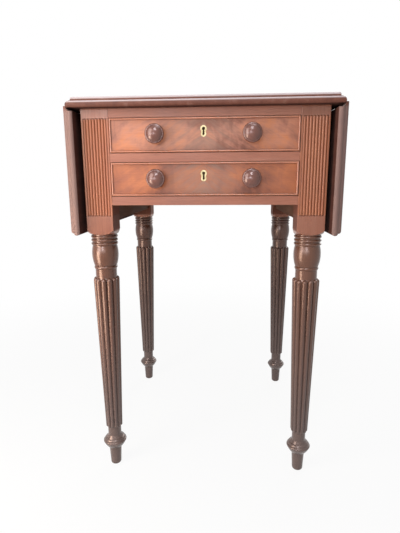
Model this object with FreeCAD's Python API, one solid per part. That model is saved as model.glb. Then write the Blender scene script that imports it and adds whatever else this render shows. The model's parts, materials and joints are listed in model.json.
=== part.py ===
import FreeCAD
import Part
import math
import os

V = FreeCAD.Vector
X_AXIS = V(1, 0, 0)
Y_AXIS = V(0, 1, 0)
Z_AXIS = V(0, 0, 1)
ORIGIN = V(0, 0, 0)

# Overall sizes in millimetres: floor at z = 0, drawers face -Y, +X is the right side
TABLE_HEIGHT = 720.0
LEG_SPACING_X = 377.0
LEG_SPACING_Y = 383.0
LEG_SQUARE = 48.5
TOP_THICKNESS = 17.5
TOP_OVERHANG = 18.0
LEAF_WIDTH = 220.0
LEAF_STANDOFF = 8.25

# Fits between pieces
TENON_GAP = 0.1
SCREW_GAP = 0.05
PIN_FIT = 0.05
KNUCKLE_GAP = 0.3
RUN_GAP = 0.25
DRAWER_GAP = 0.7
FRONT_GAP = 0.9
CUT_PAST = 1.0

# Rule joint between the fixed top and each leaf
PIN_RISE = 3.0
RULE_FILLET = 6.0
RULE_GAP = 0.5

# Moulded edge of the top and leaves: a nosing below a set-back fillet with a rounded arris
NOSE_HEIGHT = 10.5
NOSE_DEPTH = 2.5
NOSE_STEP = 1.0
EDGE_ROUND = 6.0

# Square block at the head of each leg, with its sunk panel of reeds and turned shoulder
BLOCK_HEIGHT = 218.5
PANEL_TOP_MARGIN = 16.0
PANEL_BOTTOM_MARGIN = 34.0
PANEL_SIDE_MARGIN = 3.4
PANEL_REEDS = 8
PANEL_RELIEF = 1.6
REED_SLIT = 0.05
BLOCK_ARRIS = 0.8
SHOULDER_RISE = 11.0
SHOULDER_INSET = 0.6
SHOULDER_SWELL = 2.0

# Turned leg, from the block down: rings, vase, collar, neck, reeded shaft, ball and toe
RING_COUNT = 3
RING_HEIGHT = 5.0
RING_RADIUS = 24.6
RING_GROOVE = 1.6
RING_GROOVE_RADIUS = 22.5
VASE_HEIGHT = 37.5
VASE_TOP_RADIUS = 22.7
VASE_RADIUS = 24.5
VASE_FOOT_RADIUS = 21.0
COLLAR_HEIGHT = 7.0
COLLAR_RADIUS = 21.6
NECK_HEIGHT = 16.5
NECK_RADIUS = 19.8
SHAFT_REEDS = 12
SHAFT_TOP_RADIUS = 24.8
SHAFT_FOOT_RADIUS = 16.7
REED_SPREAD = 0.98
REED_BED = 0.8
LEFT_REED_TURN = 0.0
RIGHT_REED_TURN = 15.0
ANKLE_HEIGHT = 19.0
ANKLE_RADIUS = 13.2
BALL_HEIGHT = 28.0
BALL_RADIUS = 23.0
BALL_SOFTNESS = 0.3
BALL_BEADS = 2
BALL_BEAD_TOP = 9.0
BALL_BEAD_HEIGHT = 5.0
BALL_BEAD_SWELL = 0.4
BALL_GROOVE = 0.6
TOE_HEIGHT = 39.5
TOE_TOP_RADIUS = 12.4
TOE_RADIUS = 10.6
TOE_ROUND = 5.0

# Front rails, drawer openings and the joints of the frame
RAIL_THICKNESS = 15.5
RAIL_DEPTH = 40.0
RAIL_INSET = 0.5
OPENING_HEIGHT = 59.0
TENON_LENGTH = 18.0
TENON_THICKNESS = 8.0
TENON_WIDTH = 16.0
TENON_SHOULDER = 8.0
LONG_TENON_WIDTH = 54.0
LONG_TENON_MARGIN = 20.0
BACK_THICKNESS = 22.0
SIDE_HEIGHT = 194.5
SIDE_THICKNESS = 16.75

# Runners, kickers and stops for the drawers
RUNNER_WIDTH = 14.0
GUIDE_RISE = 15.0
STOP_LENGTH = 30.0
STOP_DEPTH = 18.0
STOP_HEIGHT = 5.0
STOP_GAP = 0.3
STOP_X = 60.0

# Fly rail and swinging bracket on each side, with a wooden knuckle joint
FLY_THICKNESS = 20.0
FLY_INSET = 5.0
BRACKET_LENGTH = 120.0
BRACKET_HEIGHT = 60.0
BRACKET_TOP_GAP = 0.4
BRACKET_BACK_GAP = 0.3
BRACKET_KERF = 0.8
BRACKET_NOSE = 30.0
BRACKET_SWEEP = 40.0
BRACKET_NOSE_FULLNESS = 0.3
PIVOT_Y = 55.0
FINGERS = 5
FINGER_GAP = 0.15
FLY_PIN_RADIUS = 2.0

# Drawer boxes
FRONT_THICKNESS = 18.0
DRAWER_SIDE = 9.0
DRAWER_SIDE_DROP = 3.0
DRAWER_SIDE_ROUND = 2.5
DRAWER_BACK = 9.0
DRAWER_BACK_DROP = 5.0
DRAWER_BACK_GAP = 13.5
BOTTOM_THICKNESS = 6.0
BOTTOM_RISE = 8.0
BOTTOM_GROOVE = 4.0
TAILS = 3
TAIL_TIP = 0.36
TAIL_ROOT = 0.26
TAIL_MARGIN = 0.5
BEAD = 3.2
BEAD_DEPTH = 9.0
BEAD_PROUD = 2.0
BEAD_ROUND = 1.5
DUMMY_BEAD_DEPTH = 4.0

# Turned knobs, by radius and by distance in front of the drawer
KNOB_X = 82.5
KNOB_RISE = 1.0
KNOB_PROJECTION = 25.0
KNOB_RADIUS = 16.5
KNOB_FACE_RADIUS = 13.6
KNOB_RIM = 5.0
KNOB_DOME = 6.5
KNOB_STEP = 0.8
KNOB_BASE_RADIUS = 9.5
KNOB_BASE_HEIGHT = 2.5
KNOB_NECK_RADIUS = 7.0
SPIGOT_RADIUS = 5.0
SPIGOT_LENGTH = 15.0
DUMMY_SPIGOT_LENGTH = 14.0

# Keyhole, its thin brass outline, and the lock behind it
KEYHOLE_RISE = 5.5
KEY_EYE_RADIUS = 2.8
KEY_FOOT_RADIUS = 2.0
KEY_WAIST = 1.5
KEY_DROP = 9.0
ESCUTCHEON_RIM = 2.7
ESCUTCHEON_DEPTH = 3.0
ESCUTCHEON_PROUD = 0.3
LOCK_WIDTH = 44.0
LOCK_FLANGE = 6.0
LOCK_HEIGHT = 36.0
LOCK_DEPTH = 8.75
LOCK_PLATE = 1.5
BOLT_WIDTH = 18.0
BOLT_THICKNESS = 4.0
BOLT_LENGTH = 24.0
BOLT_GAP = 0.2
BOLT_THROW = 6.0
BOLT_MORTISE_GAP = 1.0

# Brass table hinges let into the underside
HINGE_Y = 150.0
HINGE_LENGTH = 45.0
HINGE_PLATE = 2.0
TOP_PLATE_WIDTH = 30.0
LEAF_PLATE_WIDTH = 42.0
HINGE_PIN_RADIUS = 1.5
KNUCKLE_HOUSING_GAP = 0.5
HINGE_SCREW_SPAN = 16.0
HINGE_SCREW_STAGGER = 5.0
LEAF_SCREW_EDGE = 14.0

# Countersunk wood screws: shank radius, head radius, length
TOP_SCREW = (2.0, 4.0, 27.0)
HINGE_SCREW = (1.4, 2.8, 11.0)
LOCK_SCREW = (1.1, 2.1, 9.0)
SCREW_POINT = 3.0
SCREW_SLOT_WIDTH = 0.8
SCREW_SLOT_DEPTH = 0.7
SIDE_TOP_SCREWS = 3
TOP_SCREW_PITCH = 140.0
TOP_SCREW_X = 100.0

# Places worked out from the sizes above
LEG_X = LEG_SPACING_X / 2
LEG_Y = LEG_SPACING_Y / 2
LEG_OUT_X = LEG_X + LEG_SQUARE / 2
LEG_OUT_Y = LEG_Y + LEG_SQUARE / 2
LEG_IN_X = LEG_X - LEG_SQUARE / 2
LEG_IN_Y = LEG_Y - LEG_SQUARE / 2
UNDER_Z = TABLE_HEIGHT - TOP_THICKNESS
BLOCK_Z = UNDER_Z - BLOCK_HEIGHT
TOP_Y = LEG_OUT_Y + TOP_OVERHANG
PIN_X = LEG_OUT_X + LEAF_STANDOFF + PIN_RISE
PIN_Z = UNDER_Z + PIN_RISE
OVOLO_RADIUS = TOP_THICKNESS - PIN_RISE - RULE_FILLET
FACE_Y = LEG_OUT_Y - RAIL_INSET
RAIL_BACK_Y = FACE_Y - RAIL_DEPTH
BACK_Y = FACE_Y - BACK_THICKNESS
UPPER_TOP_Z = UNDER_Z - RAIL_THICKNESS
UPPER_Z = UPPER_TOP_Z - OPENING_HEIGHT
LOWER_TOP_Z = UPPER_Z - RAIL_THICKNESS
LOWER_Z = LOWER_TOP_Z - OPENING_HEIGHT
APRON_Z = LOWER_Z - RAIL_THICKNESS
SIDE_Z = UNDER_Z - SIDE_HEIGHT
FLY_OUT_X = LEG_OUT_X - FLY_INSET
FLY_IN_X = FLY_OUT_X - FLY_THICKNESS
SIDE_IN_X = FLY_IN_X - SIDE_THICKNESS
RUNNER_X = LEG_IN_X - RUNNER_WIDTH
PIVOT_X = FLY_OUT_X - FLY_THICKNESS / 2
FRONT_BACK_Y = FACE_Y - FRONT_THICKNESS


# Basic shapes

def box(x0, x1, y0, y1, z0, z1):
    return Part.makeBox(x1 - x0, y1 - y0, z1 - z0, V(x0, y0, z0))


def grown_box(gap, x0, x1, y0, y1, z0, z1):
    return box(x0 - gap, x1 + gap, y0 - gap, y1 + gap, z0 - gap, z1 + gap)


def mirror_x(shape):
    return shape.mirror(ORIGIN, X_AXIS)


def mirror_y(shape):
    return shape.mirror(ORIGIN, Y_AXIS)


def edges_through(points):
    """Edges through 3-D points; a pair of points in the list is an arc's middle and end."""
    edges = []
    here = points[0]
    for step in points[1:]:
        if isinstance(step, tuple):
            edges.append(Part.Arc(here, step[0], step[1]).toShape())
            here = step[1]
        else:
            edges.append(Part.LineSegment(here, step).toShape())
            here = step
    return edges


def face_of(points):
    return Part.Face(Part.Wire(edges_through(points + [points[0]])))


def turned(points):
    """Solid of revolution about Z; points are (radius, z), arcs are pairs of them."""
    placed = []
    for step in points:
        if isinstance(step[0], tuple):
            placed.append((V(step[0][0], 0, step[0][1]), V(step[1][0], 0, step[1][1])))
        else:
            placed.append(V(step[0], 0, step[1]))
    return face_of(placed).revolve(ORIGIN, Z_AXIS, 360)


def aim(shape, point, direction):
    """Place a shape that is built along +Z so that it starts at point and runs along direction."""
    placed = shape.copy()
    placed.Placement = FreeCAD.Placement(point, FreeCAD.Rotation(Z_AXIS, direction))
    return placed


def capsule(r0, r1, length):
    """Round-ended taper along Z, with its two end centres at z = 0 and z = length."""
    half = math.sqrt(0.5)
    return turned([
        (0, -r0),
        ((r0 * half, -r0 * half), (r0, 0)),
        (r1, length),
        ((r1 * half, length + r1 * half), (0, length + r1)),
    ])


def screw_shape(size, gap):
    """Countersunk screw, grown by a gap, with its head's face at z = 0 and its point towards +Z."""
    shank, head, length = size
    head_height = head - shank
    return turned([
        (0, 0),
        (head + gap, 0),
        (shank + gap, head_height),
        (shank + gap, length - SCREW_POINT),
        (0, length + gap),
    ])


def wood_screw(size):
    head = size[1]
    half = SCREW_SLOT_WIDTH / 2
    slot = box(-head, head, -half, half, 0, SCREW_SLOT_DEPTH)
    return screw_shape(size, 0).cut(slot)


def screws_at(size, places, direction):
    return [aim(wood_screw(size), place, direction) for place in places]


def screw_holes(size, places, direction):
    return [aim(screw_shape(size, SCREW_GAP), place, direction) for place in places]


def save(name, *solids):
    shape = solids[0] if len(solids) == 1 else Part.makeCompound(list(solids))
    shape.exportStep("parts/" + name + ".step")


# Legs

def ball_radius(height):
    """Radius of the ball foot, a softened lozenge, at a height above or below its middle."""
    slope = math.hypot(2 * height / BALL_HEIGHT, BALL_SOFTNESS) - BALL_SOFTNESS
    full = math.hypot(1, BALL_SOFTNESS) - BALL_SOFTNESS
    return BALL_RADIUS - (BALL_RADIUS - ANKLE_RADIUS) * slope / full


def ball_points(middle):
    """Outline of the ball below its upper slope: turned beads down to its belly, then the lower slope."""
    z = BALL_BEAD_TOP
    points = [(ball_radius(z) - BALL_GROOVE, middle + z)]
    for bead in range(BALL_BEADS):
        half = z - BALL_BEAD_HEIGHT / 2
        z -= BALL_BEAD_HEIGHT
        crown = (ball_radius(half) + BALL_BEAD_SWELL, middle + half)
        points.append((crown, (ball_radius(z) - BALL_GROOVE, middle + z)))
    foot = -BALL_HEIGHT / 2
    half = (z + foot) / 2
    points.append(((ball_radius(half), middle + half), (ball_radius(foot), middle + foot)))
    return points


def reed_pitch_radius(radius):
    """Radius of the circle of reed centres inside a reeded shaft of this radius."""
    return radius / (1 + REED_SPREAD * math.sin(math.pi / SHAFT_REEDS))


def turned_leg(reed_turn):
    """Everything below the square block, on the leg's own axis, with its reeds turned by an angle."""
    points = [(0, BLOCK_Z), (RING_GROOVE_RADIUS, BLOCK_Z)]
    z = BLOCK_Z
    for ring in range(RING_COUNT):
        z -= RING_GROOVE
        points.append((RING_GROOVE_RADIUS, z))
        middle = (RING_RADIUS, z - RING_HEIGHT / 2)
        z -= RING_HEIGHT
        points.append((middle, (RING_GROOVE_RADIUS, z)))
    z -= RING_GROOVE
    points.append((RING_GROOVE_RADIUS, z))
    points.append((VASE_TOP_RADIUS, z))
    middle = (VASE_RADIUS, z - VASE_HEIGHT / 2)
    z -= VASE_HEIGHT
    points.append((middle, (VASE_FOOT_RADIUS, z)))
    points.append((NECK_RADIUS, z))
    middle = (COLLAR_RADIUS, z - COLLAR_HEIGHT / 2)
    z -= COLLAR_HEIGHT
    points.append((middle, (NECK_RADIUS, z)))
    z -= NECK_HEIGHT
    points.append((NECK_RADIUS, z))

    top_pitch = reed_pitch_radius(SHAFT_TOP_RADIUS)
    foot_pitch = reed_pitch_radius(SHAFT_FOOT_RADIUS)
    top_reed = SHAFT_TOP_RADIUS - top_pitch
    foot_reed = SHAFT_FOOT_RADIUS - foot_pitch
    reed_top = z - top_reed
    reed_foot = TOE_HEIGHT + BALL_HEIGHT + ANKLE_HEIGHT + foot_reed
    points.append((top_pitch + REED_BED, reed_top))
    points.append((foot_pitch + REED_BED, reed_foot))
    points.append((ANKLE_RADIUS, reed_foot - foot_reed))
    points.append((ANKLE_RADIUS, TOE_HEIGHT + BALL_HEIGHT))
    points += ball_points(TOE_HEIGHT + BALL_HEIGHT / 2)
    points.append((TOE_TOP_RADIUS, TOE_HEIGHT))
    points.append((TOE_RADIUS, TOE_ROUND))
    inset = TOE_ROUND * (1 - math.sqrt(0.5))
    points.append(((TOE_RADIUS - inset, inset), (TOE_RADIUS - TOE_ROUND, 0)))
    points.append((0, 0))
    core = turned(points)
    reed_step = 360.0 / SHAFT_REEDS
    core.rotate(ORIGIN, Z_AXIS, reed_turn + reed_step / 4)

    foot = V(foot_pitch, 0, reed_foot)
    run = V(top_pitch, 0, reed_top) - foot
    reed = aim(capsule(foot_reed, top_reed, run.Length).toNurbs(), foot, run)
    reeds = []
    for index in range(SHAFT_REEDS):
        copy = reed.copy()
        copy.rotate(ORIGIN, Z_AXIS, 90 + reed_turn + index * reed_step)
        reeds.append(copy)
    return core.fuse(reeds)


def leg_block():
    """Square head of a leg on its own axis, with the reeded panel on its -Y face."""
    half = LEG_SQUARE / 2
    block = box(-half, half, -half, half, BLOCK_Z, UNDER_Z)
    upright = [edge for edge in block.Edges if abs(edge.tangentAt(edge.FirstParameter).z) > 0.5]
    block = block.makeFillet(BLOCK_ARRIS, upright)
    neck = half - SHOULDER_INSET
    corner = half * math.sqrt(2) + CUT_PAST
    middle = ((neck + corner + SHOULDER_SWELL) / 2, BLOCK_Z + (SHOULDER_RISE - SHOULDER_SWELL) / 2)
    envelope = turned([
        (0, BLOCK_Z),
        (neck, BLOCK_Z),
        (middle, (corner, BLOCK_Z + SHOULDER_RISE)),
        (corner, UNDER_Z),
        (0, UNDER_Z),
    ])
    block = block.common(envelope)
    pitch = (LEG_SQUARE - 2 * PANEL_SIDE_MARGIN) / PANEL_REEDS
    side = half - PANEL_SIDE_MARGIN
    foot = BLOCK_Z + PANEL_BOTTOM_MARGIN
    head = UNDER_Z - PANEL_TOP_MARGIN
    block = block.cut(box(-side, side, -half - CUT_PAST, -half + PANEL_RELIEF, foot, head))
    chord = pitch / 2 - REED_SLIT
    radius = (chord * chord + PANEL_RELIEF * PANEL_RELIEF) / (2 * PANEL_RELIEF)
    reed = capsule(radius, radius, head - foot - pitch)
    reeds = []
    for index in range(PANEL_REEDS):
        place = V(-side + (index + 0.5) * pitch, -half + radius, foot + pitch / 2)
        reeds.append(aim(reed, place, Z_AXIS))
    return block.fuse(reeds)


# Frame joints: each tenon is a box, and its mortise is the same box with the tenon gap round it

def rail_tenon(rail_bottom):
    z = rail_bottom + (RAIL_THICKNESS - TENON_THICKNESS) / 2
    y = -FACE_Y + TENON_SHOULDER
    return (LEG_IN_X, LEG_IN_X + TENON_LENGTH, y, y + TENON_WIDTH, z, z + TENON_THICKNESS)


def long_tenon_heights(bottom):
    low = bottom + LONG_TENON_MARGIN
    high = UNDER_Z - LONG_TENON_MARGIN - LONG_TENON_WIDTH
    return [low, high]


def side_tenons():
    """Tenons at the front end of the right side rail."""
    x = SIDE_IN_X + (SIDE_THICKNESS - TENON_THICKNESS) / 2
    tenons = []
    for z in long_tenon_heights(SIDE_Z):
        top = z + LONG_TENON_WIDTH
        tenons.append((x, x + TENON_THICKNESS, -LEG_IN_Y - TENON_LENGTH, -LEG_IN_Y, z, top))
    return tenons


def back_tenons():
    """Tenons at the right end of the back rail."""
    y = BACK_Y + (BACK_THICKNESS - TENON_THICKNESS) / 2
    tenons = []
    for z in long_tenon_heights(APRON_Z):
        top = z + LONG_TENON_WIDTH
        tenons.append((LEG_IN_X, LEG_IN_X + TENON_LENGTH, y, y + TENON_THICKNESS, z, top))
    return tenons


def mortises(tenons):
    return [grown_box(TENON_GAP, *tenon) for tenon in tenons]


def make_pair_of_legs(reed_turn):
    """Front and rear legs of the right side."""
    leg = turned_leg(reed_turn).fuse(leg_block())
    plain = leg.translated(V(LEG_X, -LEG_Y, 0)).cut(mortises(side_tenons()))
    rail_tenons = [rail_tenon(z) for z in (UPPER_TOP_Z, LOWER_TOP_Z, APRON_Z)]
    front = plain.cut(mortises(rail_tenons))
    rear = mirror_y(plain).cut(mortises(back_tenons()))
    return front, rear


def make_legs():
    front, rear = make_pair_of_legs(RIGHT_REED_TURN)
    save("front_right_leg", front)
    save("rear_right_leg", rear)
    front, rear = make_pair_of_legs(LEFT_REED_TURN)
    save("front_left_leg", mirror_x(front))
    save("rear_left_leg", mirror_x(rear))


# Rails

def front_rail(bottom):
    rail = box(-LEG_IN_X, LEG_IN_X, -FACE_Y, -RAIL_BACK_Y, bottom, bottom + RAIL_THICKNESS)
    tenon = box(*rail_tenon(bottom))
    return rail.fuse([tenon, mirror_x(tenon)])


def bolt_mortise(rail_bottom):
    """Pocket in the underside of a rail that takes the lock bolt of the drawer below it."""
    gap = BOLT_MORTISE_GAP
    y = bolt_y()
    half = BOLT_WIDTH / 2 + gap
    return box(-half, half, y - gap, y + BOLT_THICKNESS + gap,
               rail_bottom - CUT_PAST, rail_bottom + BOLT_THROW + gap)


def make_rails():
    top_rail_holes = screw_holes(TOP_SCREW, rail_screw_places(), Z_AXIS)
    save("front_top_rail", front_rail(UPPER_TOP_Z).cut([bolt_mortise(UPPER_TOP_Z)] + top_rail_holes))
    save("drawer_divider", front_rail(LOWER_TOP_Z).cut(bolt_mortise(LOWER_TOP_Z)))
    save("front_bottom_rail", front_rail(APRON_Z))
    side = box(SIDE_IN_X, FLY_IN_X, -LEG_IN_Y, LEG_IN_Y, SIDE_Z, UNDER_Z)
    for tenon in side_tenons():
        side = side.fuse([box(*tenon), mirror_y(box(*tenon))])
    save("right_side_rail", side)
    save("left_side_rail", mirror_x(side))


def make_runners():
    """Bearers under each drawer side, with the guide beside it, and kickers over the upper drawer."""
    for name, top in (("upper_drawer_runners", UPPER_Z), ("lower_drawer_runners", LOWER_Z)):
        bearer = box(RUNNER_X, LEG_IN_X, -RAIL_BACK_Y, BACK_Y, top - RAIL_THICKNESS, top)
        guide = box(LEG_IN_X, SIDE_IN_X, -LEG_IN_Y, LEG_IN_Y, top - RAIL_THICKNESS, top + GUIDE_RISE)
        runner = bearer.fuse(guide)
        save(name, runner, mirror_x(runner))
    strip = box(RUNNER_X, LEG_IN_X, -RAIL_BACK_Y, BACK_Y, UPPER_TOP_Z, UNDER_Z)
    flank = box(LEG_IN_X, SIDE_IN_X, -LEG_IN_Y, LEG_IN_Y, UPPER_TOP_Z, UNDER_Z)
    holes = screw_holes(TOP_SCREW, kicker_screw_places(), Z_AXIS)
    kicker = strip.fuse(flank).cut(holes)
    save("right_kicker", kicker)
    save("left_kicker", mirror_x(kicker))
    stops = []
    for z in (UPPER_Z, LOWER_Z):
        y = -FRONT_BACK_Y + STOP_GAP
        stop = box(STOP_X - STOP_LENGTH / 2, STOP_X + STOP_LENGTH / 2, y, y + STOP_DEPTH, z, z + STOP_HEIGHT)
        stops += [stop, mirror_x(stop)]
    save("drawer_stops", *stops)


# Screws that hold the top from below

def kicker_screw_places():
    x = RUNNER_X + RUNNER_WIDTH / 2
    first = -(SIDE_TOP_SCREWS - 1) / 2 * TOP_SCREW_PITCH
    return [V(x, first + index * TOP_SCREW_PITCH, UPPER_TOP_Z) for index in range(SIDE_TOP_SCREWS)]


def rail_screw_places():
    y = -(FACE_Y + RAIL_BACK_Y) / 2
    return [V(TOP_SCREW_X, y, UPPER_TOP_Z), V(-TOP_SCREW_X, y, UPPER_TOP_Z)]


def top_fixings(make):
    """Every top screw, or every hole for one: make is screws_at or screw_holes."""
    right = make(TOP_SCREW, kicker_screw_places(), Z_AXIS)
    left = [mirror_x(shape) for shape in right]
    return right + left + make(TOP_SCREW, rail_screw_places(), Z_AXIS)


# Fly rails and brackets, drawn for the right side

def finger_zone(index):
    low = UNDER_Z - BRACKET_HEIGHT
    step = (BRACKET_HEIGHT - BRACKET_TOP_GAP) / FINGERS
    return low + index * step, low + (index + 1) * step


def knuckle(index, radius, grow):
    """Barrel of one finger about the pivot; grow lengthens it at both ends."""
    low, high = finger_zone(index)
    return Part.makeCylinder(radius, high - low + 2 * grow, V(PIVOT_X, PIVOT_Y, low - grow))


def bracket_face(grow):
    """Side outline of the bracket, from its pivot to its rounded nose."""
    tip = PIVOT_Y - BRACKET_LENGTH - grow
    foot = UNDER_Z - BRACKET_HEIGHT - grow
    head = UNDER_Z - BRACKET_TOP_GAP + grow
    sweep_y = tip + BRACKET_SWEEP
    nose_z = foot + BRACKET_NOSE
    full = V(0, tip + BRACKET_SWEEP * BRACKET_NOSE_FULLNESS, foot + BRACKET_NOSE * BRACKET_NOSE_FULLNESS)
    return face_of([
        V(0, PIVOT_Y, head),
        V(0, tip, head),
        V(0, tip, nose_z),
        (full, V(0, sweep_y, foot)),
        V(0, PIVOT_Y, foot),
    ])


def knuckle_bevel(side):
    """Wedge outside the barrel that lets the bracket swing square; side is +1 or -1 along Y."""
    reach = FLY_THICKNESS / 2 + CUT_PAST
    low = UNDER_Z - BRACKET_HEIGHT
    wedge = face_of([
        V(PIVOT_X, PIVOT_Y, low),
        V(PIVOT_X + reach, PIVOT_Y, low),
        V(PIVOT_X + reach, PIVOT_Y + side * reach, low),
    ])
    return wedge.extrude(V(0, 0, BRACKET_HEIGHT))


def make_fly_rails():
    barrel = FLY_THICKNESS / 2 - FINGER_GAP
    hollow = FLY_THICKNESS / 2 + KNUCKLE_GAP
    fixed = [index for index in range(FINGERS) if index % 2 == 0]
    moving = [index for index in range(FINGERS) if index % 2 == 1]

    rail = box(FLY_IN_X, FLY_OUT_X, -LEG_IN_Y, LEG_IN_Y, SIDE_Z, UNDER_Z)
    notch = bracket_face(BRACKET_KERF).extrude(V(FLY_THICKNESS, 0, 0)).translated(V(FLY_IN_X, 0, 0))
    rail = rail.cut([notch, knuckle_bevel(1)])
    rail = rail.fuse([knuckle(index, barrel, -FINGER_GAP) for index in fixed])
    rail = rail.cut([knuckle(index, hollow, FINGER_GAP) for index in moving])

    depth = FLY_THICKNESS - BRACKET_BACK_GAP
    bracket = bracket_face(0).extrude(V(depth, 0, 0)).translated(V(FLY_IN_X + BRACKET_BACK_GAP, 0, 0))
    bracket = bracket.cut(knuckle_bevel(-1))
    bracket = bracket.fuse([knuckle(index, barrel, -FINGER_GAP) for index in moving])
    bracket = bracket.cut([knuckle(index, hollow, FINGER_GAP) for index in fixed])

    foot, head = finger_zone(0)[0], finger_zone(FINGERS - 1)[1] - FINGER_GAP
    start = V(PIVOT_X, PIVOT_Y, foot)
    pin = Part.makeCylinder(FLY_PIN_RADIUS, head - foot, start)
    bore = Part.makeCylinder(FLY_PIN_RADIUS + PIN_FIT, head - foot + CUT_PAST, start)
    for name, shape in (("fly_rail", rail.cut(bore)), ("fly_bracket", bracket.cut(bore)), ("fly_pin", pin)):
        save("right_" + name, shape)
        save("left_" + name, mirror_x(shape))


# Table top, leaves and hinges, drawn for the right side with the leaf raised

def edge_cutter(length):
    """Waste outside the moulded edge: +X is outward from the nosing, z = 0 is the underside."""
    step = -NOSE_DEPTH - NOSE_STEP
    over = TOP_THICKNESS + CUT_PAST
    inset = EDGE_ROUND * (1 - math.sqrt(0.5))
    profile = face_of([
        V(-NOSE_DEPTH, 0, -CUT_PAST),
        V(-NOSE_DEPTH, 0, 0),
        (V(0, 0, NOSE_HEIGHT / 2), V(-NOSE_DEPTH, 0, NOSE_HEIGHT)),
        V(step, 0, NOSE_HEIGHT),
        V(step, 0, TOP_THICKNESS - EDGE_ROUND),
        (V(step - inset, 0, TOP_THICKNESS - inset), V(step - EDGE_ROUND, 0, TOP_THICKNESS)),
        V(step - EDGE_ROUND, 0, over),
        V(CUT_PAST, 0, over),
        V(CUT_PAST, 0, -CUT_PAST),
    ])
    return profile.extrude(V(0, length, 0)).translated(V(0, -length / 2, 0))


def end_cutters():
    """Edge moulding along the front and rear ends of the top and leaves."""
    cutter = edge_cutter(2 * (PIN_X + LEAF_WIDTH))
    cutter.rotate(ORIGIN, Z_AXIS, -90)
    front = cutter.translated(V(0, -TOP_Y, UNDER_Z))
    return [front, mirror_y(front)]


def pin_cylinder(radius, y0, y1):
    return Part.makeCylinder(radius, y1 - y0, V(PIN_X, y0, PIN_Z), Y_AXIS)


def hinge_plate(y, x0, x1, gap):
    half = HINGE_LENGTH / 2 + gap
    return box(x0 - gap, x1 + gap, y - half, y + half, UNDER_Z - gap, UNDER_Z + HINGE_PLATE)


def hinge_screw_places(y, x0, x1):
    """Three screws on a staggered line, heads at the underside."""
    middle = (x0 + x1) / 2
    places = []
    for index in (-1, 0, 1):
        shift = HINGE_SCREW_STAGGER * (1 if index == 0 else -1)
        places.append(V(middle + shift, y + index * HINGE_SCREW_SPAN, UNDER_Z))
    return places


def top_screw_places(y):
    return hinge_screw_places(y, PIN_X - TOP_PLATE_WIDTH, PIN_X - PIN_RISE)


def leaf_screw_places(y):
    return hinge_screw_places(y, PIN_X + LEAF_SCREW_EDGE, PIN_X + LEAF_PLATE_WIDTH)


def hinge_parts(y):
    """Top plate, leaf plate with the leaf raised, and pin of the hinge centred at y."""
    third = HINGE_LENGTH / 6
    outer = HINGE_LENGTH / 2
    clear = PIN_RISE + KNUCKLE_HOUSING_GAP
    bore = pin_cylinder(HINGE_PIN_RADIUS + PIN_FIT, y - outer - CUT_PAST, y + outer + CUT_PAST)
    slot = box(PIN_X - clear, PIN_X + clear, y - third - KNUCKLE_GAP, y + third + KNUCKLE_GAP,
               PIN_Z - clear, PIN_Z + clear)
    top_plate = hinge_plate(y, PIN_X - TOP_PLATE_WIDTH, PIN_X, 0)
    top_plate = top_plate.fuse(pin_cylinder(PIN_RISE, y - outer, y + outer)).cut([slot, bore])
    top_plate = top_plate.cut(screw_holes(HINGE_SCREW, top_screw_places(y), Z_AXIS))
    leaf_plate = hinge_plate(y, PIN_X, PIN_X + LEAF_PLATE_WIDTH, 0)
    ends = []
    for y0, y1 in ((y - outer - CUT_PAST, y - third), (y + third, y + outer + CUT_PAST)):
        ends.append(box(PIN_X - clear, PIN_X + clear, y0, y1, PIN_Z - clear, PIN_Z + clear))
    leaf_plate = leaf_plate.cut(ends).fuse(pin_cylinder(PIN_RISE, y - third, y + third)).cut(bore)
    leaf_plate = leaf_plate.cut(screw_holes(HINGE_SCREW, leaf_screw_places(y), Z_AXIS))
    return top_plate, leaf_plate, pin_cylinder(HINGE_PIN_RADIUS, y - outer, y + outer)


def hinge_housing(y):
    """Waste in the top for one hinge: plate pocket, knuckle groove and the leaf plate's relief."""
    gap = KNUCKLE_HOUSING_GAP
    half = HINGE_LENGTH / 2 + gap
    clear = PIN_RISE + gap
    pocket = hinge_plate(y, PIN_X - TOP_PLATE_WIDTH, PIN_X, TENON_GAP)
    groove = pin_cylinder(clear, y - half, y + half)
    mouth = box(PIN_X - clear, PIN_X + clear, y - half, y + half, UNDER_Z - gap, PIN_Z)
    relief = box(PIN_X, PIN_X + OVOLO_RADIUS + gap, y - half, y + half,
                 UNDER_Z - gap, UNDER_Z + HINGE_PLATE + gap)
    return [pocket, groove, mouth, relief]


def make_top():
    slab = box(-PIN_X, PIN_X, -TOP_Y, TOP_Y, UNDER_Z, TABLE_HEIGHT)
    reach = PIN_X + OVOLO_RADIUS + CUT_PAST
    quarter = pin_cylinder(OVOLO_RADIUS, -TOP_Y, TOP_Y)
    quarter = quarter.common(box(0, reach, -TOP_Y, TOP_Y, UNDER_Z, TABLE_HEIGHT))
    top = slab.fuse([quarter, mirror_x(quarter)]).cut(end_cutters())
    waste = []
    for y in (-HINGE_Y, HINGE_Y):
        holes = screw_holes(HINGE_SCREW, top_screw_places(y), Z_AXIS)
        waste += hinge_housing(y) + holes
    top = top.cut(waste).cut([mirror_x(shape) for shape in waste]).cut(top_fixings(screw_holes))
    save("top_board", top)
    save("top_screws", *top_fixings(screws_at))


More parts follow.
